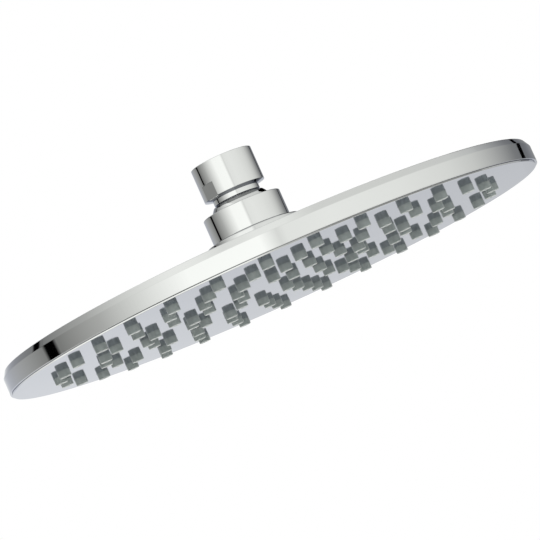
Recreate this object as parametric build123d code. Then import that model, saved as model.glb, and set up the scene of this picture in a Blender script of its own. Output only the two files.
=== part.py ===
from build123d import *
import math
import os

# Rain shower head on a ball swivel. Millimetres, +Z up.
# The origin lies on the inlet axis, where the pipe thread of the nut begins.
# Outlines of turned pieces are (radius, height) pairs.

os.makedirs("parts", exist_ok=True)

# Inlet nut: half-inch pipe thread, washer undercut, two wrench flats
thread_radius = 9.3155
thread_length = 7.2
thread_lead_in = 1.2845
lead_in_height = 0.8
undercut_depth = 1.38
undercut_height = 2.4
nut_wall = 2.3545
nut_height = 14.25
nut_top_round = 0.3
nut_base_round = 0.15
nut_foot_drop = 0.8
flat_depth = 0.45
flat_height = 5.95
flat_angle = 44.0

# Strainer and washer in the nut
screen_thickness = 0.3
screen_clearance = 0.1
screen_hole = 0.7
screen_pitch = 1.1
screen_border = 3.3
gasket_side_gap = 0.2
gasket_top_gap = 0.2
gasket_width = 4.3

# Ball stud
spigot_step = 0.3155
spigot_clearance = 0.05
neck_step = 0.9
neck_length = 1.7701
ball_overhang = 4.3
ball_base_cut = 2.2
stud_bore = 5.0
stud_wall = 2.0
regulator_pocket_depth = 4.2

# Flow regulator in the stud's pocket
regulator_clearance = 0.1
regulator_wall = 1.3
regulator_floor = 1.2
regulator_post_radius = 1.5
regulator_post_height = 2.2
regulator_hole_radius = 0.8
regulator_hole_reach = 3.4
regulator_hole_count = 6
throttle_ring_minor = 1.0
throttle_ring_gap = 0.5

# Bearing ring, collar and ball seal
seat_gap = 0.12
seat_wall = 0.83
seat_below = 2.5
seat_above = 3.6
collar_gap = 0.1
collar_wall = 1.4
collar_lip_gap = 0.05
collar_lip_clearance = 0.25
collar_mouth_clearance = 3.1
collar_top_height = 6.3
collar_base_drop = 5.25
collar_top_round = 0.4
collar_base_round = 0.3
ball_seal_minor = 1.2
ball_seal_gap = 0.11
ball_seal_angle = 34.8

# Back cover
ball_height = 28.0
boss_step = 3.35
boss_round = 0.6
boss_draft = 0.9
boss_foot_round = 6.0
spigot_thread_gap = 0.1
spigot_bore_gap = 0.15
seal_ledge_gap = 0.03
seal_ledge_width = 1.55
seal_ledge_thickness = 1.8
boss_floor_inset = 2.5
boss_foot_height = 14.4
head_radius = 115.0
back_edge_inset = 1.5
back_edge_height = 10.0
rim_top_height = 7.3
rim_base_height = 0.7
rim_edge_round = 0.4
rim_base_round = 0.25
cover_wall = 2.6
groove_depth = 0.55
groove_floor = 0.7
groove_mouth = 1.2
snap_height = 3.6
chamber_ledge_width = 2.9

# Face plate
flange_inset = 0.8
flange_thickness = 0.65
flange_bevel = 0.15
flange_round = 0.12
plate_side_gap = 0.2
plate_thickness = 2.0
skirt_wall = 2.4
skirt_top_height = 5.6
bead_rise = 0.5
bead_top = 0.3
bead_root = 0.9
nozzle_hole_gap = 0.1
post_radius = 2.6
pilot_radius = 1.1
pilot_depth = 2.6

# Nozzle mat: five rings of nozzles, every ring starts on the same radius
ring_counts = [5, 15, 20, 25, 30]
ring_start = 6.0
outer_ring_margin = 11.7
mat_inset = 3.5
mat_thickness = 1.4
mat_post_gap = 0.2
nozzle_base_radius = 2.65
nozzle_tip_radius = 2.55
nozzle_length = 2.8
jet_top_radius = 1.3
jet_tip_radius = 0.6

# Retaining plate and its screws
keeper_side_gap = 0.3
keeper_thickness = 1.6
keeper_slot = 6.4
keeper_bridge = 5.0
keeper_bridge_count = 5
screws_per_circle = 5
screw_start = 42.0
screw_shank_radius = 1.05
screw_shank_gap = 0.25
screw_shank_length = 4.0
screw_head_radius = 2.2
screw_head_height = 1.4
screw_socket_radius = 1.0
screw_socket_depth = 0.8

# Seal between face plate and back cover
chamber_seal_gap = 0.1

# Radii that follow from the sizes above
undercut_radius = thread_radius + undercut_depth
nut_radius = undercut_radius + nut_wall
spigot_radius = thread_radius - spigot_step
nut_bore = spigot_radius + spigot_clearance
neck_radius = spigot_radius + neck_step
ball_radius = neck_radius + ball_overhang
seat_inner_radius = ball_radius + seat_gap
seat_outer_radius = seat_inner_radius + seat_wall
collar_bore = seat_outer_radius + collar_gap
collar_radius = collar_bore + collar_wall
collar_mouth_radius = neck_radius + collar_mouth_clearance
boss_radius = collar_radius + boss_step
boss_foot_radius = boss_radius + boss_draft
rim_inner_radius = head_radius - cover_wall
plate_radius = rim_inner_radius - plate_side_gap
skirt_inner_radius = plate_radius - skirt_wall
keeper_radius = skirt_inner_radius - keeper_side_gap
mat_radius = keeper_radius - mat_inset
ring_pitch = (mat_radius - outer_ring_margin) / len(ring_counts)
ring_radii = [ring_pitch * (i + 1) for i in range(len(ring_counts))]
screw_radii = [ring_pitch * 1.5, ring_pitch * 4.5]

# Levels, from the nut's mouth down to the face plate
nut_top_z = lead_in_height
nut_base_z = nut_top_z - nut_height
nut_foot_z = nut_base_z - nut_foot_drop
nut_seat_z = -(thread_length + undercut_height)
pocket_floor_z = nut_seat_z - regulator_pocket_depth
neck_drop = math.sqrt(ball_radius**2 - neck_radius**2)
ball_z = nut_foot_z - neck_length - neck_drop
face_z = ball_z - ball_height
collar_base_z = ball_z - collar_base_drop
mat_base_z = face_z + plate_thickness
keeper_base_z = mat_base_z + mat_thickness
keeper_top_z = keeper_base_z + keeper_thickness
skirt_top_z = face_z + skirt_top_height
snap_z = face_z + snap_height
rim_top_z = face_z + rim_top_height
rim_base_z = face_z + rim_base_height

BASE = (Align.CENTER, Align.CENTER, Align.MIN)


def turned(points, rounds=None):
    """Solid of revolution about Z from a closed outline, with a round for each corner."""
    with BuildPart() as piece:
        with BuildSketch(Plane.XZ):
            with BuildLine():
                if rounds is None:
                    Polyline(*points, close=True)
                else:
                    FilletPolyline(*points, radius=rounds, close=True)
            make_face()
        revolve(axis=Axis.Z)
    return piece.part


def nozzle_places():
    """Every nozzle position of the five rings."""
    places = []
    for radius, count in zip(ring_radii, ring_counts):
        places += PolarLocations(radius, count, start_angle=ring_start).locations
    return places


def screw_places():
    """Every screw position on the two screw circles."""
    places = []
    for radius in screw_radii:
        places += PolarLocations(radius, screws_per_circle, start_angle=screw_start).locations
    return places


# Inlet nut: turned sleeve with a conical foot, the pipe thread's bore, the washer's undercut
# and two flats
inlet_nut = turned(
    [
        (nut_bore, nut_foot_z),
        (neck_radius, nut_foot_z),
        (nut_radius, nut_base_z),
        (nut_radius, nut_top_z),
        (thread_radius + thread_lead_in, nut_top_z),
        (thread_radius, 0.0),
        (thread_radius, -thread_length),
        (undercut_radius, -thread_length),
        (undercut_radius, nut_seat_z),
        (nut_bore, nut_seat_z),
    ],
    [0, 0, nut_base_round, nut_top_round, 0, 0, 0, 0, 0, 0],
)
flat_face = nut_radius - flat_depth
flat_reach = flat_height + nut_foot_drop
flat_tool = Pos(flat_face + nut_radius / 2, 0, nut_foot_z + flat_reach / 2) * Box(
    nut_radius, 4 * nut_radius, flat_reach
)
for angle in (flat_angle, flat_angle + 180.0):
    inlet_nut = inlet_nut - Rot(0, 0, angle) * flat_tool

# Strainer disc: square holes in a round field
screen_radius = thread_radius - screen_clearance
screen_field = screen_radius - screen_border
half_cells = int(screen_field / screen_pitch) + 1
screen_cells = []
for ix in range(-half_cells, half_cells + 1):
    for iy in range(-half_cells, half_cells + 1):
        x = ix * screen_pitch
        y = iy * screen_pitch
        if math.hypot(abs(x) + screen_hole / 2, abs(y) + screen_hole / 2) < screen_field:
            screen_cells.append((x, y))
with BuildPart() as screen_builder:
    with BuildSketch(Plane.XY.offset(nut_seat_z)):
        Circle(screen_radius)
        with Locations(*screen_cells):
            Rectangle(screen_hole, screen_hole, mode=Mode.SUBTRACT)
    extrude(amount=screen_thickness)
filter_screen = screen_builder.part

# Inlet washer on the strainer
gasket_base_z = nut_seat_z + screen_thickness
gasket_top_z = -thread_length - gasket_top_gap
gasket_radius = undercut_radius - gasket_side_gap
filter_gasket = turned([
    (gasket_radius - gasket_width, gasket_base_z),
    (gasket_radius, gasket_base_z),
    (gasket_radius, gasket_top_z),
    (gasket_radius - gasket_width, gasket_top_z),
])

# Ball stud: spigot for the nut, neck, ball, and the waterway through them
pocket_radius = spigot_radius - stud_wall
ball_cut = ball_radius - ball_base_cut
ball_base_radius = math.sqrt(ball_radius**2 - ball_cut**2)
with BuildPart() as stud_builder:
    with BuildSketch(Plane.XZ):
        with BuildLine():
            Polyline(
                (ball_base_radius, ball_z - ball_cut),
                (stud_bore, ball_z - ball_cut),
                (stud_bore, pocket_floor_z),
                (pocket_radius, pocket_floor_z),
                (pocket_radius, nut_seat_z),
                (spigot_radius, nut_seat_z),
                (spigot_radius, nut_foot_z),
                (neck_radius, nut_foot_z),
                (neck_radius, ball_z + neck_drop),
            )
            ThreePointArc(
                (neck_radius, ball_z + neck_drop),
                (ball_radius, ball_z),
                (ball_base_radius, ball_z - ball_cut),
            )
        make_face()
    revolve(axis=Axis.Z)
ball_stud = stud_builder.part

# Flow regulator: cup with a centre post and a circle of holes
regulator_radius = pocket_radius - regulator_clearance
regulator_inner = regulator_radius - regulator_wall
regulator_top_z = nut_seat_z - regulator_clearance
regulator_floor_z = pocket_floor_z + regulator_floor
flow_regulator = turned([
    (0, pocket_floor_z),
    (regulator_radius, pocket_floor_z),
    (regulator_radius, regulator_top_z),
    (regulator_inner, regulator_top_z),
    (regulator_inner, regulator_floor_z),
    (regulator_post_radius, regulator_floor_z),
    (regulator_post_radius, regulator_floor_z + regulator_post_height),
    (0, regulator_floor_z + regulator_post_height),
])
hole_tool = Pos(0, 0, pocket_floor_z) * Cylinder(regulator_hole_radius, regulator_floor, align=BASE)
hole_places = PolarLocations(regulator_hole_reach, regulator_hole_count).locations
flow_regulator = flow_regulator - [place * hole_tool for place in hole_places]

# Throttle ring on the regulator's floor
throttle_ring_major = regulator_post_radius + throttle_ring_gap + throttle_ring_minor
regulator_o_ring = Pos(0, 0, regulator_floor_z + throttle_ring_minor) * Torus(
    throttle_ring_major, throttle_ring_minor
)

# Bearing ring: cylinder outside, sphere inside
seat_low_radius = math.sqrt(seat_inner_radius**2 - seat_below**2)
seat_high_radius = math.sqrt(seat_inner_radius**2 - seat_above**2)
with BuildPart() as seat_builder:
    with BuildSketch(Plane.XZ):
        with BuildLine():
            Polyline(
                (seat_low_radius, ball_z - seat_below),
                (seat_outer_radius, ball_z - seat_below),
                (seat_outer_radius, ball_z + seat_above),
                (seat_high_radius, ball_z + seat_above),
            )
            ThreePointArc(
                (seat_high_radius, ball_z + seat_above),
                (seat_inner_radius, ball_z),
                (seat_low_radius, ball_z - seat_below),
            )
        make_face()
    revolve(axis=Axis.Z)
seat_ring = seat_builder.part

# Collar: sleeve with a flat top and a lip over the bearing ring
lip_height = seat_above + collar_lip_gap
lip_radius = math.sqrt(ball_radius**2 - lip_height**2) + collar_lip_clearance
collar_nut = turned(
    [
        (collar_bore, collar_base_z),
        (collar_radius, collar_base_z),
        (collar_radius, ball_z + collar_top_height),
        (collar_mouth_radius, ball_z + collar_top_height),
        (lip_radius, ball_z + lip_height),
        (collar_bore, ball_z + lip_height),
    ],
    [0, collar_base_round, collar_top_round, 0, 0, 0],
)

# Seal under the ball
seal_reach = ball_radius + ball_seal_gap + ball_seal_minor
seal_major = seal_reach * math.cos(math.radians(ball_seal_angle))
seal_z = ball_z - seal_reach * math.sin(math.radians(ball_seal_angle))
ball_seal = Pos(0, 0, seal_z) * Torus(seal_major, ball_seal_minor)

# Back cover: collar spigot, round boss, low cone, rim wall with the snap groove
spigot_outer = collar_bore - spigot_thread_gap
spigot_bore = math.sqrt(ball_radius**2 - seat_below**2) + spigot_bore_gap
spigot_top_z = ball_z - seat_below
seal_ledge_z = seal_z - ball_seal_minor - seal_ledge_gap
waterway_radius = seal_major - seal_ledge_width
boss_floor_z = seal_ledge_z - seal_ledge_thickness
boss_floor_radius = boss_radius - boss_floor_inset
back_edge_radius = head_radius - back_edge_inset
back_edge_z = face_z + back_edge_height
boss_foot_z = face_z + boss_foot_height
cone_fall = (boss_foot_z - back_edge_z) / (back_edge_radius - boss_foot_radius)
chamber_ledge_radius = rim_inner_radius - chamber_ledge_width
ceiling_foot_z = boss_foot_z + cone_fall * (boss_foot_radius - boss_floor_radius) - cover_wall
ceiling_edge_z = ceiling_foot_z - cone_fall * (chamber_ledge_radius - boss_floor_radius)
with BuildPart() as cover_builder:
    with BuildSketch(Plane.XZ) as cover_outline:
        with BuildLine():
            Polyline(
                (boss_foot_radius, boss_foot_z),
                (boss_radius, collar_base_z),
                (spigot_outer, collar_base_z),
                (spigot_outer, spigot_top_z),
                (spigot_bore, spigot_top_z),
                (spigot_bore, seal_ledge_z),
                (waterway_radius, seal_ledge_z),
                (waterway_radius, boss_floor_z),
                (boss_floor_radius, boss_floor_z),
                (boss_floor_radius, ceiling_foot_z),
                (chamber_ledge_radius, ceiling_edge_z),
                (chamber_ledge_radius, rim_top_z),
                (rim_inner_radius, rim_top_z),
                (rim_inner_radius, snap_z + groove_mouth / 2),
                (rim_inner_radius + groove_depth, snap_z + groove_floor / 2),
                (rim_inner_radius + groove_depth, snap_z - groove_floor / 2),
                (rim_inner_radius, snap_z - groove_mouth / 2),
                (rim_inner_radius, rim_base_z),
                (head_radius, rim_base_z),
                (head_radius, rim_top_z),
                (back_edge_radius, back_edge_z),
                (boss_foot_radius, boss_foot_z),
            )
        make_face()
        outer_corners = cover_outline.vertices().sort_by(Axis.X)[-3:]
        base_corner = outer_corners.sort_by(Axis.Y)[0]
        edge_corners = outer_corners.sort_by(Axis.Y)[1:]
        fillet(base_corner, radius=rim_base_round)
        fillet(edge_corners, radius=rim_edge_round)
        boss_corner = cover_outline.vertices().sort_by_distance((boss_radius, collar_base_z))[0]
        fillet(boss_corner, radius=boss_round)
        foot_corner = cover_outline.vertices().sort_by_distance((boss_foot_radius, boss_foot_z))[0]
        fillet(foot_corner, radius=boss_foot_round)
    revolve(axis=Axis.Z)
back_cover = cover_builder.part

# Seal ring squeezed between the plate's skirt and the cover's ledge
chamber_seal = turned([
    (skirt_inner_radius + chamber_seal_gap, skirt_top_z),
    (plate_radius - chamber_seal_gap, skirt_top_z),
    (plate_radius - chamber_seal_gap, rim_top_z),
    (skirt_inner_radius + chamber_seal_gap, rim_top_z),
])

# Face plate: mirror disc with flange, snap skirt, nozzle holes and screw posts
flange_radius = head_radius - flange_inset
flange_top_z = face_z + flange_thickness
face_plate = turned(
    [
        (0, face_z),
        (flange_radius - flange_bevel, face_z),
        (flange_radius, flange_top_z),
        (plate_radius, flange_top_z),
        (plate_radius, snap_z - bead_root / 2),
        (plate_radius + bead_rise, snap_z - bead_top / 2),
        (plate_radius + bead_rise, snap_z + bead_top / 2),
        (plate_radius, snap_z + bead_root / 2),
        (plate_radius, skirt_top_z),
        (skirt_inner_radius, skirt_top_z),
        (skirt_inner_radius, mat_base_z),
        (0, mat_base_z),
    ],
    [0, flange_round, 0, 0, 0, 0, 0, 0, 0, 0, 0, 0],
)
nozzle_hole_radius = nozzle_base_radius + nozzle_hole_gap
post = Pos(0, 0, mat_base_z) * Cylinder(post_radius, mat_thickness, align=BASE)
pilot = Pos(0, 0, keeper_base_z - pilot_depth) * Cylinder(pilot_radius, pilot_depth, align=BASE)
hole = Pos(0, 0, face_z) * Cylinder(nozzle_hole_radius, plate_thickness, align=BASE)
face_plate = face_plate + [place * post for place in screw_places()]
face_plate = face_plate - [place * pilot for place in screw_places()]
face_plate = face_plate - [place * hole for place in nozzle_places()]

# Nozzle mat: sheet with a tapered, pierced nipple in every hole of the plate
nozzle_tip_z = face_z - nozzle_length
nipple_height = nozzle_length + plate_thickness
jet_height = nipple_height + mat_thickness
nipple = Pos(0, 0, nozzle_tip_z) * Cone(
    nozzle_tip_radius, nozzle_base_radius, nipple_height, align=BASE
)
jet = Pos(0, 0, nozzle_tip_z) * Cone(jet_tip_radius, jet_top_radius, jet_height, align=BASE)
post_clearance = Pos(0, 0, mat_base_z) * Cylinder(
    post_radius + mat_post_gap, mat_thickness, align=BASE
)
nozzle_mat = Pos(0, 0, mat_base_z) * Cylinder(mat_radius, mat_thickness, align=BASE)
nozzle_mat = nozzle_mat - [place * post_clearance for place in screw_places()]
nozzle_mat = nozzle_mat + [place * nipple for place in nozzle_places()]
nozzle_mat = nozzle_mat - [place * jet for place in nozzle_places()]

# Retaining plate: disc with bridged ring slots over the nozzles and clearance for the screws
bridge_spacing = 360.0 / keeper_bridge_count
with BuildPart() as keeper_builder:
    with BuildSketch(Plane.XY.offset(keeper_base_z)):
        Circle(keeper_radius)
        with Locations(*screw_places()):
            Circle(screw_shank_radius + screw_shank_gap, mode=Mode.SUBTRACT)
        for radius, count in zip(ring_radii, ring_counts):
            margin = math.degrees((keeper_bridge + keeper_slot) / 2 / radius)
            for index in range(keeper_bridge_count):
                begin = ring_start + 180.0 / count + bridge_spacing * index + margin
                SlotArc(
                    CenterArc((0, 0), radius, begin, bridge_spacing - 2 * margin),
                    height=keeper_slot,
                    mode=Mode.SUBTRACT,
                )
    extrude(amount=keeper_thickness)
retaining_plate = keeper_builder.part

# Ten equal cheese-head screws with a hexagon socket
screw_top_z = keeper_top_z + screw_head_height
screw = turned([
    (0, keeper_top_z - screw_shank_length),
    (screw_shank_radius, keeper_top_z - screw_shank_length),
    (screw_shank_radius, keeper_top_z),
    (screw_head_radius, keeper_top_z),
    (screw_head_radius, screw_top_z),
    (0, screw_top_z),
])
with BuildPart() as socket_builder:
    with BuildSketch(Plane.XY.offset(screw_top_z - screw_socket_depth)):
        RegularPolygon(screw_socket_radius, 6)
    extrude(amount=screw_socket_depth)
screw = screw - socket_builder.part
plate_screws = Compound(children=[place * screw for place in screw_places()])

# One file for each piece
pieces = {
    "inlet_nut": inlet_nut,
    "filter_gasket": filter_gasket,
    "filter_screen": filter_screen,
    "flow_regulator": flow_regulator,
    "regulator_o_ring": regulator_o_ring,
    "ball_stud": ball_stud,
    "seat_ring": seat_ring,
    "collar_nut": collar_nut,
    "ball_seal": ball_seal,
    "back_cover": back_cover,
    "chamber_seal": chamber_seal,
    "retaining_plate": retaining_plate,
    "plate_screws": plate_screws,
    "nozzle_mat": nozzle_mat,
    "face_plate": face_plate,
}
for name, piece in pieces.items():
    export_step(piece, "parts/" + name + ".step")
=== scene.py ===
import math

import bpy
from mathutils import Matrix, Vector
from mathutils.geometry import tessellate_polygon


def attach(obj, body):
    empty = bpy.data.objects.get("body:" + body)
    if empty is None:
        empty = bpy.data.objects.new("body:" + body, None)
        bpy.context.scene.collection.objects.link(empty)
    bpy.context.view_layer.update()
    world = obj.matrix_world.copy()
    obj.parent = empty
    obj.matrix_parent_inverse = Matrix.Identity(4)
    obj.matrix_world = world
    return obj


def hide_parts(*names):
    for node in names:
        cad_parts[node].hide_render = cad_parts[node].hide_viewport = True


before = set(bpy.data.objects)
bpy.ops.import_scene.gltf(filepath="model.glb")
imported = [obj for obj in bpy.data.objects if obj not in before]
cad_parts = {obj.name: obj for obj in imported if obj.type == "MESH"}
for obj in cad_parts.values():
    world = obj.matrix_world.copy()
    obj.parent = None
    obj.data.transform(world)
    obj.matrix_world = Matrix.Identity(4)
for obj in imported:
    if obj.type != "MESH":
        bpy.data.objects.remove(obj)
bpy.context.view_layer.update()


# Inlet nut: a turned brass sleeve, chromed all over, with the half-inch pipe thread
# cut in its bore and two wrench flats milled near its foot. The stud's spigot is
# glued into it from below. Sizes of the head are in millimetres.
MILLIMETRE = 0.001
NUT_RADIUS = 13.05
NUT_TOP = 0.8
NUT_FOOT = -13.45
NUT_CONE = -14.25
NUT_SEAT = -9.6
NUT_BORE = 9.05
NUT_COLUMN_DEGREES = 2
NECK_RADIUS = 9.9
WASHER_UNDERCUT = 10.6955
FLAT_REACH = 12.6
FLAT_ANGLES = (math.radians(44), math.radians(224))
FLAT_TOP = -7.5
# Rows of points lie close to the ledge over a flat, and columns close to its upright edges.
FLAT_LAST_ROW = FLAT_TOP - 0.12
LEDGE_ROW = FLAT_TOP - 0.02
WALL_ROW = FLAT_TOP + 0.04
CORNER_TURN = 0.002
MILLING_SKIN = 0.001
THREAD_RADIUS = 9.3155
THREAD_MOUTH = 1.2845
THREAD_DEPTH = 1.16
THREAD_PITCH = 1.814
THREAD_START = 0.0
THREAD_END = -7.2
THREAD_STEPS = 64
THREAD_RUN_OUT = 0.5
CREST_SHARE = 0.14
FLANK_SHARE = 0.72
SLOPE_RISE = 0.05
SLOPE_TURN = 0.02
SHARP = 0
BROKEN_EDGE = 0.1
EASED_EDGE = 0.15
NUT_TOP_ROUND = 0.3
MOUTH_ROUND = 0.12
CHROME_COLOUR = (0.538, 0.543, 0.547, 1)
CHROME_GLANCE = (0.573, 0.588, 0.665, 1)


def rounded_outline(corners, steps=5):
    """Points (radius, height, normal) around a closed outline of (radius, height, round)."""
    points = []
    for i, (r, z, round_) in enumerate(corners):
        here = Vector((r, z))
        before = (here - Vector(corners[i - 1][:2])).normalized()
        after = (Vector(corners[(i + 1) % len(corners)][:2]) - here).normalized()
        normal_in = Vector((before.y, -before.x))
        normal_out = Vector((after.y, -after.x))
        turn = math.atan2(before.x * after.y - before.y * after.x, before.dot(after))
        if round_ == SHARP:
            points.append((r, z, (normal_in + normal_out).normalized()))
            continue
        side = 1 if turn > 0 else -1
        start = here - before * round_ * math.tan(abs(turn) / 2)
        centre = start - normal_in * round_ * side
        for step in range(steps + 1):
            angle = turn * step / steps
            normal = Matrix.Rotation(angle, 2) @ normal_in
            place = centre + normal * round_ * side
            points.append((place.x, place.y, normal))
    return points


def wrapped_faces(columns, rows):
    """Faces of a surface that closes both around the axis and along its outline."""
    faces = []
    for column in range(columns):
        here = column * rows
        beside = (column + 1) % columns * rows
        for row in range(rows):
            above = (row + 1) % rows
            faces.append((here + row, beside + row, beside + above, here + above))
    return faces


def mesh_piece(name, places, normals, faces):
    """A smooth mesh object from places in millimetres, with its true surface normals."""
    mesh = bpy.data.meshes.new(name)
    mesh.from_pydata([Vector(p) * MILLIMETRE for p in places], [], faces)
    mesh.shade_smooth()
    mesh.normals_split_custom_set_from_vertices([Vector(n).normalized() for n in normals])
    piece = bpy.data.objects.new(name, mesh)
    bpy.context.scene.collection.objects.link(piece)
    return piece


def new_finish(name):
    """A fresh material, with its nodes, its links and its shader."""
    material = bpy.data.materials.new(name)
    material.use_nodes = True
    tree = material.node_tree
    return material, tree.nodes, tree.links, tree.nodes["Principled BSDF"]


def add_noise(nodes, links, scale, detail):
    """A cloudy pattern that is fixed to the piece; gives back its value."""
    place = nodes.new("ShaderNodeTexCoord")
    noise = nodes.new("ShaderNodeTexNoise")
    noise.inputs["Scale"].default_value = scale
    noise.inputs["Detail"].default_value = detail
    links.new(place.outputs["Object"], noise.inputs["Vector"])
    return noise.outputs["Fac"]


def add_polish(nodes, links, shader, pattern, finest, dullest, start=0.0, end=1.0):
    """Lets the roughness drift between two values with the pattern."""
    polish = nodes.new("ShaderNodeMapRange")
    polish.inputs["From Min"].default_value = start
    polish.inputs["From Max"].default_value = end
    polish.inputs["To Min"].default_value = finest
    polish.inputs["To Max"].default_value = dullest
    links.new(pattern, polish.inputs["Value"])
    links.new(polish.outputs["Result"], shader.inputs["Roughness"])


def add_bump(nodes, links, shader, pattern, strength, distance):
    """Raises the surface a very little, in metres, where the pattern is high."""
    bump = nodes.new("ShaderNodeBump")
    bump.inputs["Strength"].default_value = strength
    bump.inputs["Distance"].default_value = distance
    links.new(pattern, bump.inputs["Height"])
    links.new(bump.outputs["Normal"], shader.inputs["Normal"])


def polished_chrome(name, peel_scale, peel_height):
    """Bright chrome plate: a near mirror with faint waviness and a trace of uneven polish."""
    material, nodes, links, shader = new_finish(name)
    shader.inputs["Base Color"].default_value = CHROME_COLOUR
    shader.inputs["Metallic"].default_value = 1.0
    shader.inputs["Specular Tint"].default_value = CHROME_GLANCE
    smear = add_noise(nodes, links, scale=55.0, detail=4.0)
    add_polish(nodes, links, shader, smear, finest=0.025, dullest=0.05, start=0.3, end=0.7)
    wave = add_noise(nodes, links, scale=peel_scale, detail=1.0)
    add_bump(nodes, links, shader, wave, strength=0.05, distance=peel_height)
    return material


def clamped(value):
    """The value, kept between zero and one."""
    return min(1.0, max(0.0, value))


def flat_limit(angle):
    """How far the nut's wall may reach at an angle, where a flat is milled."""
    reach = NUT_RADIUS
    for flat in FLAT_ANGLES:
        share = math.cos(angle - flat)
        if share > 0:
            reach = min(reach, FLAT_REACH / share)
    return reach


def thread_groove(angle, z):
    """Depth of the thread's groove in the bore; it runs out at both ends of the thread."""
    phase = (z / THREAD_PITCH - angle / math.tau) % 1.0
    ridge = 1.0 - abs(2.0 * phase - 1.0)
    flank = clamped((ridge - CREST_SHARE) / FLANK_SHARE)
    run_in = clamped((THREAD_START - z) / THREAD_RUN_OUT)
    run_out = clamped((z - THREAD_END) / THREAD_RUN_OUT)
    return THREAD_DEPTH * flank * (run_in * run_out)


nut_outline = rounded_outline([
    (NUT_BORE, NUT_SEAT, BROKEN_EDGE),
    (NUT_BORE, NUT_CONE, BROKEN_EDGE),
    (NECK_RADIUS, NUT_CONE, BROKEN_EDGE),
    (NUT_RADIUS, NUT_FOOT, EASED_EDGE),
    (NUT_RADIUS, FLAT_LAST_ROW, SHARP),
    (NUT_RADIUS, LEDGE_ROW, SHARP),
    (NUT_RADIUS, WALL_ROW, SHARP),
    (NUT_RADIUS, NUT_TOP, NUT_TOP_ROUND),
    (THREAD_RADIUS + THREAD_MOUTH, NUT_TOP, MOUTH_ROUND),
    (THREAD_RADIUS, THREAD_START, SHARP),
    (THREAD_RADIUS, THREAD_END, SHARP),
    (WASHER_UNDERCUT, THREAD_END, EASED_EDGE),
    (WASHER_UNDERCUT, NUT_SEAT, EASED_EDGE),
])
thread_first = next(i for i, point in enumerate(nut_outline) if point[0] == THREAD_RADIUS)
thread_last = thread_first + THREAD_STEPS
# The two corners of the plain bore give way to rows that follow the thread's turns.
thread_heights = [THREAD_END * row / THREAD_STEPS for row in range(THREAD_STEPS + 1)]
nut_rows = nut_outline[:thread_first]
nut_rows += [(THREAD_RADIUS, z, Vector((-1, 0))) for z in thread_heights]
nut_rows += nut_outline[thread_first + 2:]
nut_angles = [math.radians(turn) for turn in range(0, 360, NUT_COLUMN_DEGREES)]
flat_half = math.acos(FLAT_REACH / NUT_RADIUS)
for flat in FLAT_ANGLES:
    for edge in (flat - flat_half, flat + flat_half):
        nut_angles += [edge - CORNER_TURN, edge + CORNER_TURN]
nut_angles.sort()
nut_places = []
nut_normals = []
for angle in nut_angles:
    c = math.cos(angle)
    s = math.sin(angle)
    limit = flat_limit(angle)
    flat = max(FLAT_ANGLES, key=lambda f: math.cos(angle - f))
    for row, (r, z, normal) in enumerate(nut_rows):
        n = Vector((normal.x * c, normal.x * s, normal.y))
        if thread_first <= row <= thread_last:
            r = THREAD_RADIUS + thread_groove(angle, z)
            rise = thread_groove(angle, z + SLOPE_RISE) - thread_groove(angle, z - SLOPE_RISE)
            turn = thread_groove(angle + SLOPE_TURN, z) - thread_groove(angle - SLOPE_TURN, z)
            slope_z = rise / (2 * SLOPE_RISE)
            slope_a = turn / (2 * SLOPE_TURN) / r
            n = Vector((-c - s * slope_a, -s + c * slope_a, slope_z))
        elif z < FLAT_TOP and r > limit + MILLING_SKIN:
            on_ledge = z > FLAT_LAST_ROW
            n = Vector((0, 0, -1)) if on_ledge else Vector((math.cos(flat), math.sin(flat), 0))
            r = limit
        nut_places.append((r * c, r * s, z))
        nut_normals.append(n)
nut_faces = wrapped_faces(len(nut_angles), len(nut_rows))
nut = mesh_piece("inlet_nut_turned", nut_places, nut_normals, nut_faces)
brass_chrome = polished_chrome("chrome_on_brass", peel_scale=160.0, peel_height=0.0002)
nut.data.materials.append(brass_chrome)
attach(nut, "inlet")
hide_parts("inlet_nut")


# Strainer: a punched stainless disc that lies on the seat in the nut and keeps grit
# out of the regulator.
def spun_steel(name, tone):
    """Plain stainless steel with a fine, uneven grain and a trace of warmth."""
    material, nodes, links, shader = new_finish(name)
    shader.inputs["Base Color"].default_value = (tone, tone * 0.99, tone * 0.97, 1)
    shader.inputs["Metallic"].default_value = 1.0
    grain = add_noise(nodes, links, scale=900.0, detail=3.0)
    add_polish(nodes, links, shader, grain, finest=0.22, dullest=0.42)
    return material


def dress_node(node, material):
    """Gives its finish to a piece that keeps the shape of its solid."""
    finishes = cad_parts[node].data.materials
    finishes.clear()
    finishes.append(material)


dress_node("filter_screen", spun_steel("strainer_steel", tone=0.5))


# Washer: a flat ring of black rubber. It lies on the strainer and seals against the end
# of the shower arm when the nut is screwed up.
RUBBER_DARK = (0.012, 0.012, 0.013, 1)
RUBBER_PALE = (0.028, 0.028, 0.029, 1)
MOULD_GRAIN = 0.00005


def add_tint(nodes, links, shader, pattern, dark, pale, start=0.0, end=1.0):
    """Lets the colour drift between two near tones with the pattern."""
    ramp = nodes.new("ShaderNodeValToRGB")
    low, high = ramp.color_ramp.elements
    low.position = start
    low.color = dark
    high.position = end
    high.color = pale
    links.new(pattern, ramp.inputs["Fac"])
    links.new(ramp.outputs["Color"], shader.inputs["Base Color"])


def seal_rubber(name):
    """Matte black rubber with a fine moulded skin."""
    material, nodes, links, shader = new_finish(name)
    shader.inputs["Roughness"].default_value = 0.6
    shader.inputs["Specular IOR Level"].default_value = 0.35
    bloom = add_noise(nodes, links, scale=350.0, detail=5.0)
    add_tint(nodes, links, shader, bloom, RUBBER_DARK, RUBBER_PALE)
    add_bump(nodes, links, shader, bloom, strength=0.2, distance=MOULD_GRAIN)
    return material


black_rubber = seal_rubber("black_seal_rubber")
dress_node("filter_gasket", black_rubber)


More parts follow.
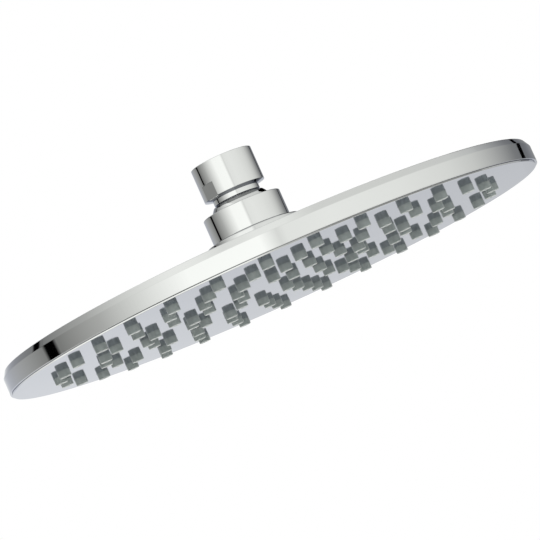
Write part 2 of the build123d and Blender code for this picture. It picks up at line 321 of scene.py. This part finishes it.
# Flow regulator: a moulded acetal cup in the stud's pocket, with a rubber throttle
# ring around its post. Flow presses the ring onto the holes in the floor.
REGULATOR_DARK = (0.70, 0.70, 0.67, 1)
REGULATOR_PALE = (0.78, 0.78, 0.75, 1)


def moulded_plastic(name, dark, pale, roughness):
    """Unpainted moulding: slight colour drift and a fine eroded-die texture."""
    material, nodes, links, shader = new_finish(name)
    shader.inputs["Roughness"].default_value = roughness
    drift = add_noise(nodes, links, scale=120.0, detail=6.0)
    add_tint(nodes, links, shader, drift, dark, pale)
    add_bump(nodes, links, shader, drift, strength=0.15, distance=MOULD_GRAIN)
    return material


cup_acetal = moulded_plastic("regulator_acetal", REGULATOR_DARK, REGULATOR_PALE, roughness=0.45)
dress_node("flow_regulator", cup_acetal)
dress_node("regulator_o_ring", black_rubber)


# Ball stud: turned from brass bar in one piece, spigot, neck and ball, bored through
# for the water, polished and chromed. A narrow relief is cut where the neck meets the ball.
STUD_BORE = 5.0
STUD_SPIGOT = 9.0
STUD_COLUMNS = 160
POCKET_RADIUS = 7.0
POCKET_FLOOR = -13.8
BALL_RADIUS = 14.2
BALL_HEIGHT = -26.2
BALL_CUT = 12.0
BALL_STEPS = 60
RELIEF_LOW = 9.2
RELIEF_BOTTOM = 9.7
RELIEF_HIGH = 10.0
RELIEF_DEPTH = 1.0
RELIEF_EDGE = 0.03
RELIEF_ROOT = 0.02
WATERWAY_ROUND = 0.4
FINE_EDGE = 0.05
SOFT_EDGE = 0.2


def turned_piece(name, outline, columns):
    """A piece turned about the inlet axis from an outline that runs counter-clockwise."""
    places = []
    normals = []
    for column in range(columns):
        angle = math.tau * column / columns
        c = math.cos(angle)
        s = math.sin(angle)
        for r, z, normal in outline:
            places.append((r * c, r * s, z))
            normals.append((normal.x * c, normal.x * s, normal.y))
    return mesh_piece(name, places, normals, wrapped_faces(columns, len(outline)))


ball_start = math.asin(-BALL_CUT / BALL_RADIUS)
ball_end = math.asin(RELIEF_LOW / BALL_RADIUS)
ball_arc = []
for step in range(1, BALL_STEPS):
    angle = ball_start + (ball_end - ball_start) * step / BALL_STEPS
    ball_reach = BALL_RADIUS * math.cos(angle)
    ball_arc.append((ball_reach, BALL_HEIGHT + BALL_RADIUS * math.sin(angle), SHARP))
stud_foot = [
    (POCKET_RADIUS, POCKET_FLOOR, BROKEN_EDGE),
    (STUD_BORE, POCKET_FLOOR, SOFT_EDGE),
    (STUD_BORE, BALL_HEIGHT - BALL_CUT, WATERWAY_ROUND),
    (math.sqrt(BALL_RADIUS**2 - BALL_CUT**2), BALL_HEIGHT - BALL_CUT, SOFT_EDGE),
]
stud_neck = [
    (math.sqrt(BALL_RADIUS**2 - RELIEF_LOW**2), BALL_HEIGHT + RELIEF_LOW, RELIEF_EDGE),
    (NECK_RADIUS - RELIEF_DEPTH, BALL_HEIGHT + RELIEF_BOTTOM, RELIEF_ROOT),
    (NECK_RADIUS, BALL_HEIGHT + RELIEF_HIGH, RELIEF_EDGE),
    (NECK_RADIUS, NUT_CONE, BROKEN_EDGE),
    (STUD_SPIGOT, NUT_CONE, FINE_EDGE),
    (STUD_SPIGOT, NUT_SEAT, BROKEN_EDGE),
    (POCKET_RADIUS, NUT_SEAT, BROKEN_EDGE),
]
stud_outline = rounded_outline(stud_foot + ball_arc + stud_neck)
stud = turned_piece("ball_stud_turned", stud_outline, STUD_COLUMNS)
stud.data.materials.append(brass_chrome)
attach(stud, "inlet")
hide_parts("ball_stud")


# Bearing ring: moulded in natural acetal, with a spherical bore that the ball turns in.
# The collar's lip holds it down.
BEARING_DARK = (0.74, 0.74, 0.71, 1)
BEARING_PALE = (0.82, 0.82, 0.79, 1)
dress_node("seat_ring", moulded_plastic("bearing_acetal", BEARING_DARK, BEARING_PALE, roughness=0.4))


# Collar: chromed plastic ring that screws onto the cover's spigot. The lip under its flat
# top keeps the bearing ring and the ball in, and the small bevel round its foot leaves a
# dark seam above the boss.
COLLAR_RADIUS = 16.65
COLLAR_BORE = 15.25
COLLAR_BEVEL = 0.65
COLLAR_BEVEL_EDGE = 0.06
COLLAR_TOP_ROUND = 0.4
COLLAR_COLUMNS = 192
LIP_MOUTH = 13.0
LIP_ROOT = 13.97
LIP_ROUND = 0.12
# Heights of the head's own pieces are counted from its spray face.
FACE = -54.2
BOSS_TOP = FACE + 22.75
LIP_HEIGHT = FACE + 31.65
COLLAR_TOP = FACE + 34.3
collar_outline = rounded_outline([
    (COLLAR_BORE, BOSS_TOP, EASED_EDGE),
    (COLLAR_RADIUS - COLLAR_BEVEL, BOSS_TOP, FINE_EDGE),
    (COLLAR_RADIUS, BOSS_TOP + COLLAR_BEVEL, COLLAR_BEVEL_EDGE),
    (COLLAR_RADIUS, COLLAR_TOP, COLLAR_TOP_ROUND),
    (LIP_MOUTH, COLLAR_TOP, LIP_ROUND),
    (LIP_ROOT, LIP_HEIGHT, BROKEN_EDGE),
    (COLLAR_BORE, LIP_HEIGHT, EASED_EDGE),
], steps=6)
collar = turned_piece("collar_nut_turned", collar_outline, COLLAR_COLUMNS)
plastic_chrome = polished_chrome("chrome_on_plastic", peel_scale=60.0, peel_height=0.0003)
collar.data.materials.append(plastic_chrome)
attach(collar, "head")
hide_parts("collar_nut")


# Ball seal: a rubber ring of round section. It lies on the cover's ledge, under the ball,
# and keeps the water in while the head swivels.
dress_node("ball_seal", black_rubber)


# Back cover: one large plastic moulding, chromed. A round boss carries the swivel, the back
# falls as a very low cone to a bevelled rim, and the face plate snaps into the rim.
COVER_RADIUS = 115.0
COVER_COLUMNS = 360
RIM_FOOT = FACE + 0.7
RIM_FOOT_ROUND = 0.25
RIM_TOP = FACE + 7.3
RIM_TOP_ROUND = 0.4
RIM_INSIDE = 112.4
BACK_EDGE_RADIUS = 113.5
BACK_EDGE = FACE + 10.0
BOSS_RADIUS = 20.0
BOSS_ROUND = 0.6
BOSS_FOOT_RADIUS = 20.9
BOSS_FOOT = FACE + 14.4
BOSS_FOOT_ROUND = 6.0
SPIGOT_RADIUS = 15.15
SPIGOT_BORE = 14.13
SPIGOT_TOP = FACE + 25.5
SEAL_LEDGE = FACE + 17.92
WATERWAY_RADIUS = 11.19
HOLLOW_RADIUS = 17.5
HOLLOW_TOP = FACE + 16.12
HOLLOW_FOOT = FACE + 11.96
CHAMBER_RADIUS = 109.5
CHAMBER_EDGE = FACE + 7.59
SNAP_HEIGHT = FACE + 3.6
GROOVE_RADIUS = 112.95
GROOVE_HALF_MOUTH = 0.6
GROOVE_HALF_FLOOR = 0.35
cover_outline = rounded_outline([
    (RIM_INSIDE, RIM_FOOT, EASED_EDGE),
    (COVER_RADIUS, RIM_FOOT, RIM_FOOT_ROUND),
    (COVER_RADIUS, RIM_TOP, RIM_TOP_ROUND),
    (BACK_EDGE_RADIUS, BACK_EDGE, RIM_TOP_ROUND),
    (BOSS_FOOT_RADIUS, BOSS_FOOT, BOSS_FOOT_ROUND),
    (BOSS_RADIUS, BOSS_TOP, BOSS_ROUND),
    (SPIGOT_RADIUS, BOSS_TOP, BROKEN_EDGE),
    (SPIGOT_RADIUS, SPIGOT_TOP, SOFT_EDGE),
    (SPIGOT_BORE, SPIGOT_TOP, SOFT_EDGE),
    (SPIGOT_BORE, SEAL_LEDGE, EASED_EDGE),
    (WATERWAY_RADIUS, SEAL_LEDGE, SOFT_EDGE),
    (WATERWAY_RADIUS, HOLLOW_TOP, SOFT_EDGE),
    (HOLLOW_RADIUS, HOLLOW_TOP, EASED_EDGE),
    (HOLLOW_RADIUS, HOLLOW_FOOT, EASED_EDGE),
    (CHAMBER_RADIUS, CHAMBER_EDGE, EASED_EDGE),
    (CHAMBER_RADIUS, RIM_TOP, BROKEN_EDGE),
    (RIM_INSIDE, RIM_TOP, SOFT_EDGE),
    (RIM_INSIDE, SNAP_HEIGHT + GROOVE_HALF_MOUTH, FINE_EDGE),
    (GROOVE_RADIUS, SNAP_HEIGHT + GROOVE_HALF_FLOOR, FINE_EDGE),
    (GROOVE_RADIUS, SNAP_HEIGHT - GROOVE_HALF_FLOOR, FINE_EDGE),
    (RIM_INSIDE, SNAP_HEIGHT - GROOVE_HALF_MOUTH, FINE_EDGE),
], steps=8)
cover = turned_piece("back_cover_moulded", cover_outline, COVER_COLUMNS)
cover.data.materials.append(plastic_chrome)
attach(cover, "head")
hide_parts("back_cover")


# Chamber seal: a flat ring of black rubber. The face plate's skirt presses it against the
# cover, so that the water leaves only through the nozzles.
dress_node("chamber_seal", black_rubber)


# Face plate: chromed moulding with a mirror-flat face, a thin flange under the rim,
# a snap skirt inside it, a hole for every nozzle and posts for the retaining screws.
RING_PITCH = 18.86
RING_COUNTS = (5, 15, 20, 25, 30)
RING_START = 6.0
SCREW_CIRCLES = (RING_PITCH * 1.5, RING_PITCH * 4.5)
SCREWS_ON_CIRCLE = 5
SCREW_START = 42.0
PLATE_COLUMNS = 360
PLATE_BACK = FACE + 2.0
PLATE_INSIDE = 100.0
FLANGE_FOOT_RADIUS = 114.05
FLANGE_RADIUS = 114.2
FLANGE_ROUND = 0.12
FLANGE_TOP = FACE + 0.65
FLANGE_TOP_ROUND = 0.08
SKIRT_RADIUS = 112.2
SKIRT_INSIDE = 109.8
SKIRT_TOP = FACE + 5.6
BEAD_RADIUS = 112.7
BEAD_HALF_ROOT = 0.45
BEAD_HALF_TOP = 0.15
HOLE_RADIUS = 2.75
HOLE_COLUMNS = 28
HOLE_SURROUND = 4.0
POST_RADIUS = 2.6
POST_TOP = FACE + 3.4
POST_COLUMNS = 24
PILOT_RADIUS = 1.1
PILOT_FLOOR = FACE + 0.8
PILOT_MIDDLE = 0.3


def places_around(reach, count, start):
    """Even places on a circle about the inlet axis, the first of them at start degrees."""
    angles = [math.radians(start + 360.0 * step / count) for step in range(count)]
    return [(reach * math.cos(angle), reach * math.sin(angle)) for angle in angles]


def wall_outline(corners, steps=5):
    """A rounded outline without its end corners, which only lead into the flats beside it."""
    return rounded_outline(corners, steps)[1:-1]


def add_turned_wall(places, normals, faces, centre, outline, columns):
    """Adds a wall turned about an upright axis, and gives back its first and last circle."""
    circles = []
    for radius, z, normal in outline:
        first = len(places)
        circles.append(range(first, first + columns))
        for column in range(columns):
            angle = math.tau * column / columns
            c = math.cos(angle)
            s = math.sin(angle)
            places.append((centre[0] + radius * c, centre[1] + radius * s, z))
            normals.append((normal.x * c, normal.x * s, normal.y))
    for lower, upper in zip(circles, circles[1:]):
        for i in range(columns):
            j = (i + 1) % columns
            faces.append((lower[i], lower[j], upper[j], upper[i]))
    return circles[0], circles[-1]


def add_flat(places, faces, loops, upward):
    """Fills the flat area between an outer circle and the circles inside it."""
    numbers = [number for loop in loops for number in loop]
    rims = [[Vector((places[n][0], places[n][1], 0)) for n in loop] for loop in loops]
    for a, b, c in tessellate_polygon(rims):
        pa, pb, pc = (Vector(places[numbers[k]][:2]) for k in (a, b, c))
        turn = (pb - pa).x * (pc - pa).y - (pb - pa).y * (pc - pa).x
        corner = (numbers[a], numbers[b], numbers[c])
        faces.append(corner if (turn > 0) == upward else corner[::-1])


MIDDLE = (0, 0)
nozzle_places = []
for ring, count in enumerate(RING_COUNTS):
    nozzle_places += places_around(RING_PITCH * (ring + 1), count, RING_START)
screw_places = []
for reach in SCREW_CIRCLES:
    screw_places += places_around(reach, SCREWS_ON_CIRCLE, SCREW_START)
plate_edge = wall_outline([
    (PLATE_INSIDE, FACE, SHARP),
    (FLANGE_FOOT_RADIUS, FACE, FLANGE_ROUND),
    (FLANGE_RADIUS, FLANGE_TOP, FLANGE_TOP_ROUND),
    (SKIRT_RADIUS, FLANGE_TOP, FLANGE_TOP_ROUND),
    (SKIRT_RADIUS, SNAP_HEIGHT - BEAD_HALF_ROOT, FINE_EDGE),
    (BEAD_RADIUS, SNAP_HEIGHT - BEAD_HALF_TOP, FINE_EDGE),
    (BEAD_RADIUS, SNAP_HEIGHT + BEAD_HALF_TOP, FINE_EDGE),
    (SKIRT_RADIUS, SNAP_HEIGHT + BEAD_HALF_ROOT, FINE_EDGE),
    (SKIRT_RADIUS, SKIRT_TOP, BROKEN_EDGE),
    (SKIRT_INSIDE, SKIRT_TOP, BROKEN_EDGE),
    (SKIRT_INSIDE, PLATE_BACK, SOFT_EDGE),
    (PLATE_INSIDE, PLATE_BACK, SHARP),
])
hole_outline = wall_outline([
    (HOLE_SURROUND, PLATE_BACK, SHARP),
    (HOLE_RADIUS, PLATE_BACK, BROKEN_EDGE),
    (HOLE_RADIUS, FACE, BROKEN_EDGE),
    (HOLE_SURROUND, FACE, SHARP),
], steps=4)
post_outline = wall_outline([
    (HOLE_SURROUND, PLATE_BACK, SHARP),
    (POST_RADIUS, PLATE_BACK, BROKEN_EDGE),
    (POST_RADIUS, POST_TOP, BROKEN_EDGE),
    (PILOT_RADIUS, POST_TOP, BROKEN_EDGE),
    (PILOT_RADIUS, PILOT_FLOOR, BROKEN_EDGE),
    (PILOT_MIDDLE, PILOT_FLOOR, SHARP),
], steps=3)
plate_places = []
plate_normals = []
plate_faces = []
plate_mesh = (plate_places, plate_normals, plate_faces)
face_rim, back_rim = add_turned_wall(*plate_mesh, MIDDLE, plate_edge, PLATE_COLUMNS)
face_loops = [face_rim]
back_loops = [back_rim]
for centre in nozzle_places:
    back_rim, face_rim = add_turned_wall(*plate_mesh, centre, hole_outline, HOLE_COLUMNS)
    back_loops.append(back_rim)
    face_loops.append(face_rim)
for centre in screw_places:
    post_foot, pilot_rim = add_turned_wall(*plate_mesh, centre, post_outline, POST_COLUMNS)
    back_loops.append(post_foot)
    add_flat(plate_places, plate_faces, [pilot_rim], True)
add_flat(plate_places, plate_faces, face_loops, False)
add_flat(plate_places, plate_faces, back_loops, True)
plate = mesh_piece("face_plate_moulded", *plate_mesh)
plate.data.materials.append(plastic_chrome)
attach(plate, "head")
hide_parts("face_plate")


# Nozzle mat: one moulding of grey silicone, a sheet on the back of the face plate with
# a soft nozzle through every hole, so that lime can be rubbed off with a thumb.
SHEET_LOW = PLATE_BACK
SHEET_TOP = POST_TOP
SHEET_RADIUS = 106.0
SHEET_COLUMNS = 240
NOZZLE_TIP = FACE - 2.8
NOZZLE_ROOT_RADIUS = 2.65
NOZZLE_TIP_RADIUS = 2.55
NOZZLE_TIP_ROUND = 0.25
JET_MOUTH_RADIUS = 1.3
JET_TIP_RADIUS = 0.6
POST_HOLE_RADIUS = 2.8
SILICONE_DARK = (0.244, 0.272, 0.271, 1)
SILICONE_PALE = (0.305, 0.336, 0.335, 1)
sheet_edge = wall_outline([
    (PLATE_INSIDE, SHEET_LOW, SHARP),
    (SHEET_RADIUS, SHEET_LOW, EASED_EDGE),
    (SHEET_RADIUS, SHEET_TOP, EASED_EDGE),
    (PLATE_INSIDE, SHEET_TOP, SHARP),
])
nozzle_outline = wall_outline([
    (HOLE_SURROUND, SHEET_TOP, SHARP),
    (JET_MOUTH_RADIUS, SHEET_TOP, SOFT_EDGE),
    (JET_TIP_RADIUS, NOZZLE_TIP, EASED_EDGE),
    (NOZZLE_TIP_RADIUS, NOZZLE_TIP, NOZZLE_TIP_ROUND),
    (NOZZLE_ROOT_RADIUS, SHEET_LOW, BROKEN_EDGE),
    (HOLE_SURROUND, SHEET_LOW, SHARP),
], steps=4)
post_hole_outline = wall_outline([
    (HOLE_SURROUND, SHEET_TOP, SHARP),
    (POST_HOLE_RADIUS, SHEET_TOP, BROKEN_EDGE),
    (POST_HOLE_RADIUS, SHEET_LOW, BROKEN_EDGE),
    (HOLE_SURROUND, SHEET_LOW, SHARP),
], steps=2)
mat_places = []
mat_normals = []
mat_faces = []
mat_mesh = (mat_places, mat_normals, mat_faces)
low_rim, top_rim = add_turned_wall(*mat_mesh, MIDDLE, sheet_edge, SHEET_COLUMNS)
low_loops = [low_rim]
top_loops = [top_rim]
for centre in nozzle_places:
    top_rim, low_rim = add_turned_wall(*mat_mesh, centre, nozzle_outline, HOLE_COLUMNS)
    top_loops.append(top_rim)
    low_loops.append(low_rim)
for centre in screw_places:
    top_rim, low_rim = add_turned_wall(*mat_mesh, centre, post_hole_outline, POST_COLUMNS)
    top_loops.append(top_rim)
    low_loops.append(low_rim)
add_flat(mat_places, mat_faces, low_loops, False)
add_flat(mat_places, mat_faces, top_loops, True)
mat = mesh_piece("nozzle_mat_moulded", *mat_mesh)
silicone, nodes, links, shader = new_finish("grey_silicone_skin")
shader.inputs["Roughness"].default_value = 0.28
shader.inputs["Specular IOR Level"].default_value = 0.4
shader.inputs["Subsurface Weight"].default_value = 0.6
shader.inputs["Subsurface Radius"].default_value = (1, 1, 1)
shader.inputs["Subsurface Scale"].default_value = 0.0012
haze = add_noise(nodes, links, scale=260.0, detail=5.0)
add_tint(nodes, links, shader, haze, SILICONE_DARK, SILICONE_PALE, start=0.3, end=0.7)
add_bump(nodes, links, shader, haze, strength=0.15, distance=MOULD_GRAIN)
mat.data.materials.append(silicone)
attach(mat, "head")
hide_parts("nozzle_mat")


# Retaining plate: unplated moulding with ring slots that let the water through; ten
# small steel screws draw it down onto the mat.
KEEPER_DARK = (0.035, 0.035, 0.038, 1)
KEEPER_PALE = (0.060, 0.060, 0.064, 1)
keeper_plastic = moulded_plastic("keeper_black_plastic", KEEPER_DARK, KEEPER_PALE, roughness=0.5)
dress_node("retaining_plate", keeper_plastic)
dress_node("plate_screws", spun_steel("screw_stainless", tone=0.55))


# Studio floor: a pale sweep well below the head, in metres like the whole studio. Near the
# middle it is plain paint that takes the head's shadow, farther out it fades into the white
# backdrop, and its underside is clear, so that the spray face can be seen from below.
FLOOR_HEIGHT = -0.45
FLOOR_MARGIN = 0.1
FLOOR_STEPS = 96
FLOOR_COLOUR = (0.86, 0.86, 0.86, 1)
FADE_START = 0.45
FADE_END = 1.0
STUDIO_RADIUS = 2.5


def level_circle(radius, height, steps):
    """Points of a level circle about the inlet axis."""
    angles = [math.tau * step / steps for step in range(steps)]
    return [(radius * math.cos(angle), radius * math.sin(angle), height) for angle in angles]


def seen_directly(nodes, links):
    """A factor of one for the camera, for mirrors and for glass, and of zero for plain light."""
    path = nodes.new("ShaderNodeLightPath")
    metal = nodes.new("ShaderNodeMath")
    metal.operation = "MAXIMUM"
    glass = nodes.new("ShaderNodeMath")
    glass.operation = "MAXIMUM"
    links.new(path.outputs["Is Camera Ray"], metal.inputs[0])
    links.new(path.outputs["Is Glossy Ray"], metal.inputs[1])
    links.new(metal.outputs["Value"], glass.inputs[0])
    links.new(path.outputs["Is Transmission Ray"], glass.inputs[1])
    return glass.outputs["Value"]


floor_mesh = bpy.data.meshes.new("studio_floor")
floor_rim = level_circle(STUDIO_RADIUS + FLOOR_MARGIN, FLOOR_HEIGHT, FLOOR_STEPS)
floor_mesh.from_pydata(floor_rim, [], [tuple(range(FLOOR_STEPS))])
floor = bpy.data.objects.new("studio_floor", floor_mesh)
bpy.context.scene.collection.objects.link(floor)
floor_paint, nodes, links, shader = new_finish("pale_floor_paint")
shader.inputs["Base Color"].default_value = FLOOR_COLOUR
shader.inputs["Roughness"].default_value = 0.8
white = nodes.new("ShaderNodeEmission")
white.inputs["Strength"].default_value = 1.0
place = nodes.new("ShaderNodeTexCoord")
distance = nodes.new("ShaderNodeVectorMath")
distance.operation = "LENGTH"
fade = nodes.new("ShaderNodeMapRange")
fade.interpolation_type = "SMOOTHSTEP"
fade.inputs["From Min"].default_value = FADE_START
fade.inputs["From Max"].default_value = FADE_END
both = nodes.new("ShaderNodeMath")
both.operation = "MULTIPLY"
blend = nodes.new("ShaderNodeMixShader")
links.new(place.outputs["Object"], distance.inputs[0])
links.new(distance.outputs["Value"], fade.inputs["Value"])
links.new(fade.outputs["Result"], both.inputs[0])
links.new(seen_directly(nodes, links), both.inputs[1])
links.new(both.outputs["Value"], blend.inputs["Fac"])
links.new(shader.outputs["BSDF"], blend.inputs[1])
links.new(white.outputs["Emission"], blend.inputs[2])
side = nodes.new("ShaderNodeNewGeometry")
clear = nodes.new("ShaderNodeBsdfTransparent")
one_sided = nodes.new("ShaderNodeMixShader")
links.new(side.outputs["Backfacing"], one_sided.inputs["Fac"])
links.new(blend.outputs["Shader"], one_sided.inputs[1])
links.new(clear.outputs["BSDF"], one_sided.inputs[2])
links.new(one_sided.outputs["Shader"], nodes["Material Output"].inputs["Surface"])
floor_mesh.materials.append(floor_paint)


# Studio screens: a cloth screen glows in a ring around the head, brightest at the camera's
# shoulder, and its sides lean away from the camera. An upper screen, a ceiling, floor cards
# and strips at the foot close the tent; black flags draw the dark lines in the chrome.
LENS_HEIGHT = 0.2
SCREEN_TOP = 1.5
SCREEN_LEAN = 16.0
CEILING = 5.2
CEILING_STEPS = 64
CEILING_LIGHT = 1.02
LIGHT_GAIN = 1.13
CLOTH_COLOUR = (1.000, 1.012, 0.972, 1)
CLOTH_STEP = 2
LEAN_START = 20.0
LEAN_GROWTH = 40.0
LEAN_END = 174.0
LEAN_FADE = 24.0
CARD_HEIGHT = FLOOR_HEIGHT + 0.01
NEAR_CARD_INSIDE = 0.15
NEAR_CARD_OUTSIDE = 0.6
FAR_CARD_INSIDE = 1.0
STRIP_RADIUS = 2.45
STRIP_TOP = 0.05
FLAG_RADIUS = 2.4
SOFT_FLAG_TOP = 2.0
SOFT_FLAG_LEAN = 28.4
# Each station of a cloth is its bearing in degrees, 0 at the camera and positive to the right
# of the photograph, then the light at its lower or inner edge and at its upper or outer edge.
LOWER_LIGHT = (
    (-180, 0.96, 0.80), (-172, 1.08, 0.90), (-160, 1.33, 0.32), (-148, 1.18, 0.32), (-132, 0.84, 0.34),
    (-107, 0.39, 0.28), (-95, 0.33, 0.24), (-70, 0.68, 0.50), (-46, 1.27, 0.95), (-29, 1.66, 1.26),
    (1, 1.71, 1.26), (8, 1.20, 0.88), (11, 1.34, 0.98), (29, 1.38, 1.02), (58, 1.31, 0.96),
    (83, 1.18, 0.86), (99, 0.96, 0.80), (131, 0.37, 0.38), (146, 0.37, 0.23), (156, 0.54, 0.16),
    (167, 0.52, 0.00), (172, 0.92, 0.02), (180, 0.96, 0.80),
)
UPPER_LIGHT = (
    (-180, 0.80, 1.20), (-150, 0.50, 1.20), (-125, 0.32, 1.50), (-100, 0.36, 1.50), (-57, 0.86, 1.50),
    (-40, 1.10, 1.32), (-21, 1.26, 1.10), (0, 1.26, 1.26), (21, 1.00, 1.24), (40, 0.98, 1.01),
    (110, 0.92, 1.00), (122, 0.82, 1.00), (140, 0.43, 1.00), (160, 0.30, 1.10), (180, 0.80, 1.20),
)
LEFT_STRIP = ((-166, 1.00, 1.00), (-150, 1.15, 1.15), (-95, 1.25, 1.25))
RIGHT_STRIP = ((108, 0.70, 0.70), (140, 0.78, 0.78), (166, 0.80, 0.80))
SOFT_FLAG = ((-106.5, 0.38, 0.30), (-104.2, 0, 0), (-98.0, 0, 0), (-95.7, 0.36, 0.28))
# A station of the floor cards gives the light of the near card and of the far card.
FLOOR_LIGHT = (
    (-180, 0.60, 1.00), (-150, 0.70, 1.40), (-100, 0.60, 1.45), (-70, 0.30, 1.40), (-40, 0.25, 1.35),
    (-15, 0.70, 1.45), (-4, 0.90, 1.30), (10, 1.20, 0.70), (35, 1.30, 0.40), (125, 1.30, 0.40),
    (160, 0.80, 0.80), (180, 0.60, 1.00),
)
# A black flag has its name, the bearings of its sides, its foot, its head and its lean.
BLACK_FLAGS = (
    ("flag_right", 138.2, 143.2, STRIP_TOP, SCREEN_TOP, 22.0),
    ("flag_behind_low", 159.0, 172.0, 0.5, 0.82, 0.0),
    ("flag_behind", 153.0, 172.0, 0.82, 1.15, -10.0),
    ("flag_behind_high", 150.0, 172.0, 1.15, 2.1, -14.0),
)
glow, nodes, links, shader = new_finish("screen_glow")
nodes.remove(shader)
light = nodes.new("ShaderNodeEmission")
light.inputs["Color"].default_value = CLOTH_COLOUR
read = nodes.new("ShaderNodeAttribute")
read.attribute_name = "level"
links.new(read.outputs["Fac"], light.inputs["Strength"])
links.new(light.outputs["Emission"], nodes["Material Output"].inputs["Surface"])


def light_cloth(name, places, faces, levels):
    """A glowing cloth that the camera doesn't see, with a light level for each point."""
    mesh = bpy.data.meshes.new(name)
    mesh.from_pydata(places, [], faces)
    strengths = [LIGHT_GAIN * level for level in levels]
    mesh.attributes.new("level", "FLOAT", "POINT").data.foreach_set("value", strengths)
    mesh.materials.append(glow)
    cloth = bpy.data.objects.new(name, mesh)
    bpy.context.scene.collection.objects.link(cloth)
    cloth.visible_camera = False
    return cloth


def cloth_ring(name, stations, first_edge, last_edge, lean=0.0):
    """A cloth through its stations, between two edges of (radius, height)."""
    columns = []
    for start, end in zip(stations, stations[1:]):
        count = max(1, round((end[0] - start[0]) / CLOTH_STEP))
        for step in range(count):
            share = step / count
            columns.append([a + (b - a) * share for a, b in zip(start, end)])
    columns.append(stations[-1])
    places = []
    levels = []
    for bearing, first_level, last_level in columns:
        from_front = clamped((abs(bearing) - LEAN_START) / LEAN_GROWTH)
        from_back = clamped((LEAN_END - abs(bearing)) / LEAN_FADE)
        sideways = math.copysign(from_front * from_back, bearing)
        for (radius, z), level in ((first_edge, first_level), (last_edge, last_level)):
            turn = math.radians(bearing + lean * sideways * (z - LENS_HEIGHT))
            places.append((radius * math.sin(turn), -radius * math.cos(turn), z))
            levels.append(level)
    faces = [(2 * i, 2 * i + 1, 2 * i + 3, 2 * i + 2) for i in range(len(columns) - 1)]
    return light_cloth(name, places, faces, levels)


lower_edge = (STUDIO_RADIUS, FLOOR_HEIGHT)
middle_edge = (STUDIO_RADIUS, SCREEN_TOP)
upper_edge = (STUDIO_RADIUS, CEILING)
cloth_ring("lower_screen", LOWER_LIGHT, lower_edge, middle_edge, SCREEN_LEAN)
cloth_ring("upper_screen", UPPER_LIGHT, middle_edge, upper_edge)
near_light = [(bearing, near, near) for bearing, near, far in FLOOR_LIGHT]
far_light = [(bearing, far, far) for bearing, near, far in FLOOR_LIGHT]
near_edges = ((NEAR_CARD_INSIDE, CARD_HEIGHT), (NEAR_CARD_OUTSIDE, CARD_HEIGHT))
far_edges = ((FAR_CARD_INSIDE, CARD_HEIGHT), (STUDIO_RADIUS, CARD_HEIGHT))
strip_edges = ((STRIP_RADIUS, CARD_HEIGHT), (STRIP_RADIUS, STRIP_TOP))
mirror_cards = (
    cloth_ring("near_floor_card", near_light, *near_edges),
    cloth_ring("far_floor_card", far_light, *far_edges),
    cloth_ring("left_foot_strip", LEFT_STRIP, *strip_edges),
    cloth_ring("right_foot_strip", RIGHT_STRIP, *strip_edges),
)
for card in mirror_cards:
    card.visible_diffuse = False
    card.visible_shadow = False
soft_flag_edges = ((FLAG_RADIUS, STRIP_TOP), (FLAG_RADIUS, SOFT_FLAG_TOP))
cloth_ring("flag_left", SOFT_FLAG, *soft_flag_edges, SOFT_FLAG_LEAN)
for name, start, end, flag_foot, flag_head, lean in BLACK_FLAGS:
    black = ((start, 0, 0), (end, 0, 0))
    cloth_ring(name, black, (FLAG_RADIUS, flag_foot), (FLAG_RADIUS, flag_head), lean)
ceiling_rim = level_circle(STUDIO_RADIUS, CEILING, CEILING_STEPS)
ceiling_levels = [CEILING_LIGHT] * CEILING_STEPS
light_cloth("ceiling_cloth", ceiling_rim, [tuple(range(CEILING_STEPS))], ceiling_levels)


# Backdrop: the world itself stands for white paper behind the tent. It is plain white where
# it is seen or mirrored, and a little softer where it only lights the head.
BACKDROP_LIGHT = 0.8
BACKDROP_WHITE = 1.0
world = bpy.data.worlds.new("white_backdrop")
bpy.context.scene.world = world
world.use_nodes = True
nodes = world.node_tree.nodes
links = world.node_tree.links
soft = nodes.new("ShaderNodeMapRange")
soft.inputs["To Min"].default_value = BACKDROP_LIGHT
soft.inputs["To Max"].default_value = BACKDROP_WHITE
nodes["Background"].inputs["Color"].default_value = (1, 1, 1, 1)
links.new(seen_directly(nodes, links), soft.inputs["Value"])
links.new(soft.outputs["Result"], nodes["Background"].inputs["Strength"])


# Camera: a long lens a metre away and a little below the face, so that the nozzles show.
# It is rolled as the photograph is, which makes the level head hang at a slant.
CAMERA_PLACE = Vector((0.00008, -1.02114, -0.15045))
CAMERA_AIM = Vector((0.00002, -0.00056, -0.04847))
CAMERA_ROLL = math.radians(-24.055)
SENSOR_WIDTH = 36.0
FOCAL_LENGTH = 170.37
camera_data = bpy.data.cameras.new("studio_camera")
camera_data.sensor_width = SENSOR_WIDTH
camera_data.lens = FOCAL_LENGTH
camera = bpy.data.objects.new("studio_camera", camera_data)
bpy.context.scene.collection.objects.link(camera)
ahead = (CAMERA_AIM - CAMERA_PLACE).normalized()
level_right = ahead.cross(Vector((0, 0, 1))).normalized()
level_up = level_right.cross(ahead)
right = level_right * math.cos(CAMERA_ROLL) + level_up * math.sin(CAMERA_ROLL)
up = right.cross(ahead)
camera.matrix_world = Matrix((
    (right.x, up.x, -ahead.x, CAMERA_PLACE.x),
    (right.y, up.y, -ahead.y, CAMERA_PLACE.y),
    (right.z, up.z, -ahead.z, CAMERA_PLACE.z),
    (0, 0, 0, 1),
))
bpy.context.scene.camera = camera
bpy.context.scene.view_settings.view_transform = "Standard"
